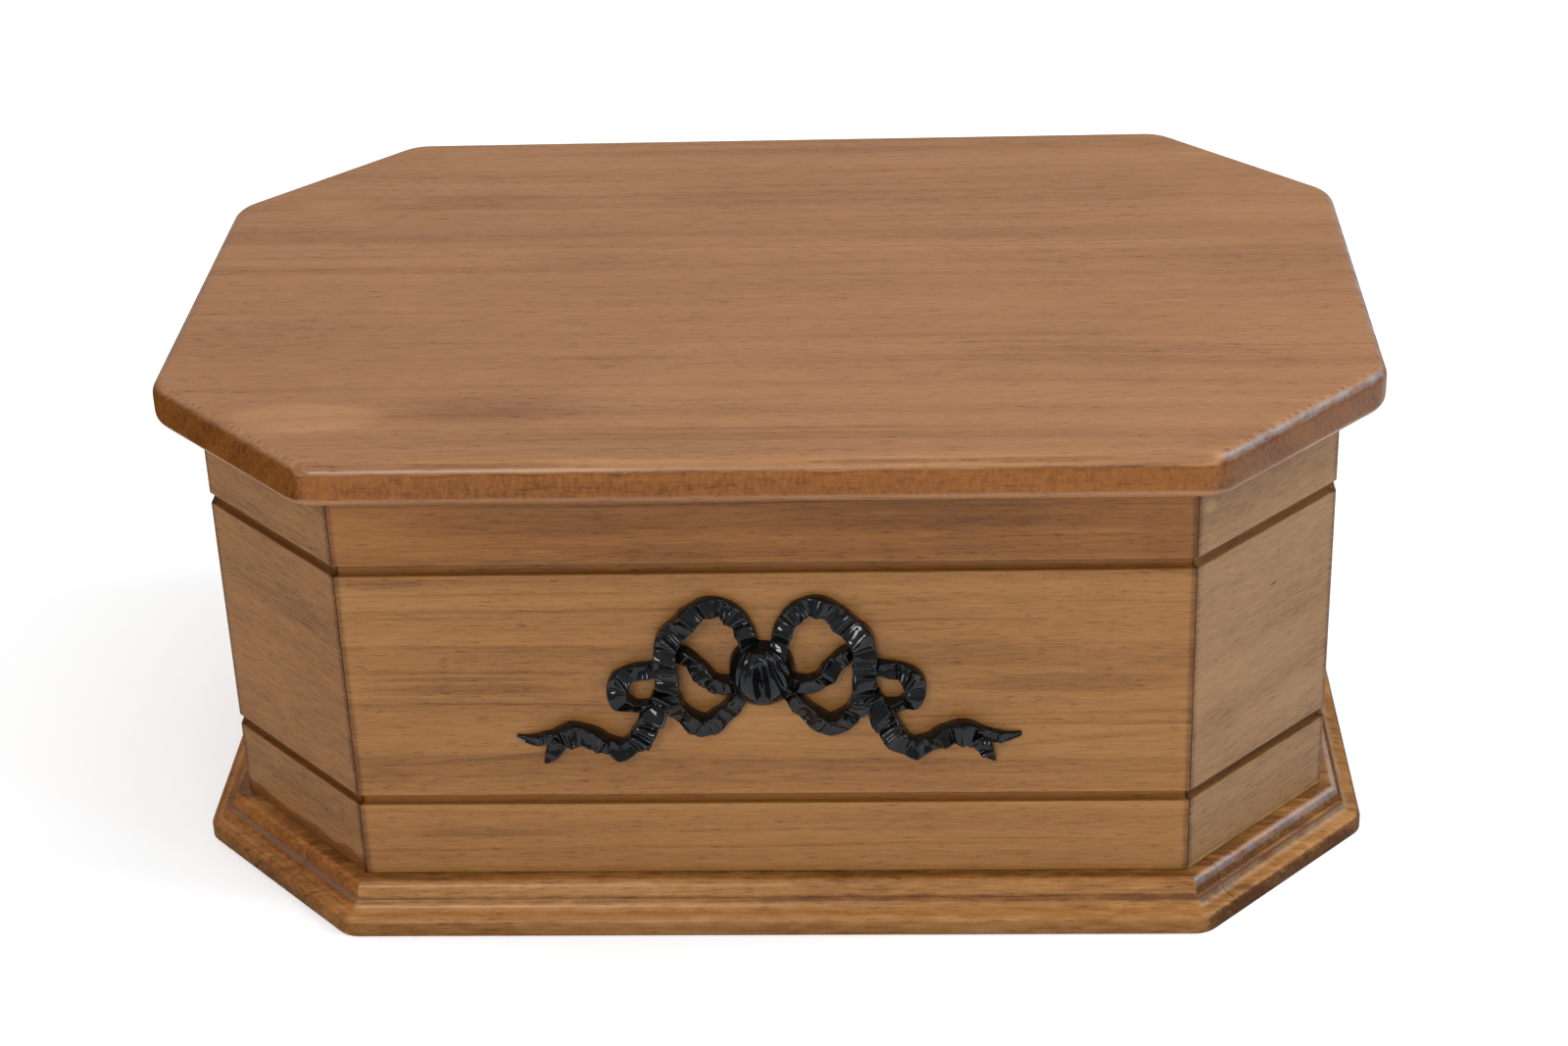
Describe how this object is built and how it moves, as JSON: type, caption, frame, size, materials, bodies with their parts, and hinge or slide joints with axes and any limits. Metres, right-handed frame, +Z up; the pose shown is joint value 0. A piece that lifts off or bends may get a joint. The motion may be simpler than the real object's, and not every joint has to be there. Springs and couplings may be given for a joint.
{
  "type": "wooden coffin",
  "caption": "Small octagonal wooden casket with a rounded overhanging lift-off lid, grooved walls, a moulded base and a black cast ribbon bow on the front; holds ashes or a small pet.",
  "frame": {"origin": "centre of the base board's underside, on the floor", "axes": "+X along the length, to the viewer's right; +Y from the front to the back; +Z up. The bow is on the -Y side."},
  "size_m": [0.5, 0.325, 0.2226],
  "materials": {
    "wood_lid": "satin, mid-brown stain, slightly pink, straight grain along the length",
    "wood_wall": "satin, golden-brown stain, straight horizontal grain",
    "wood_base": "satin, orange-brown stain, end grain at the corners",
    "black_gloss": "thick glossy black paint on a casting"
  },
  "bodies": {
    "root": {"lid": "wood_lid", "base_board": "wood_base", "wall_front": "wood_wall", "wall_back": "wood_wall", "wall_left": "wood_wall", "wall_right": "wood_wall", "wall_front_left": "wood_wall", "wall_front_right": "wood_wall", "wall_back_left": "wood_wall", "wall_back_right": "wood_wall", "ribbon_bow": "black_gloss"}
  },
  "joints": []
}
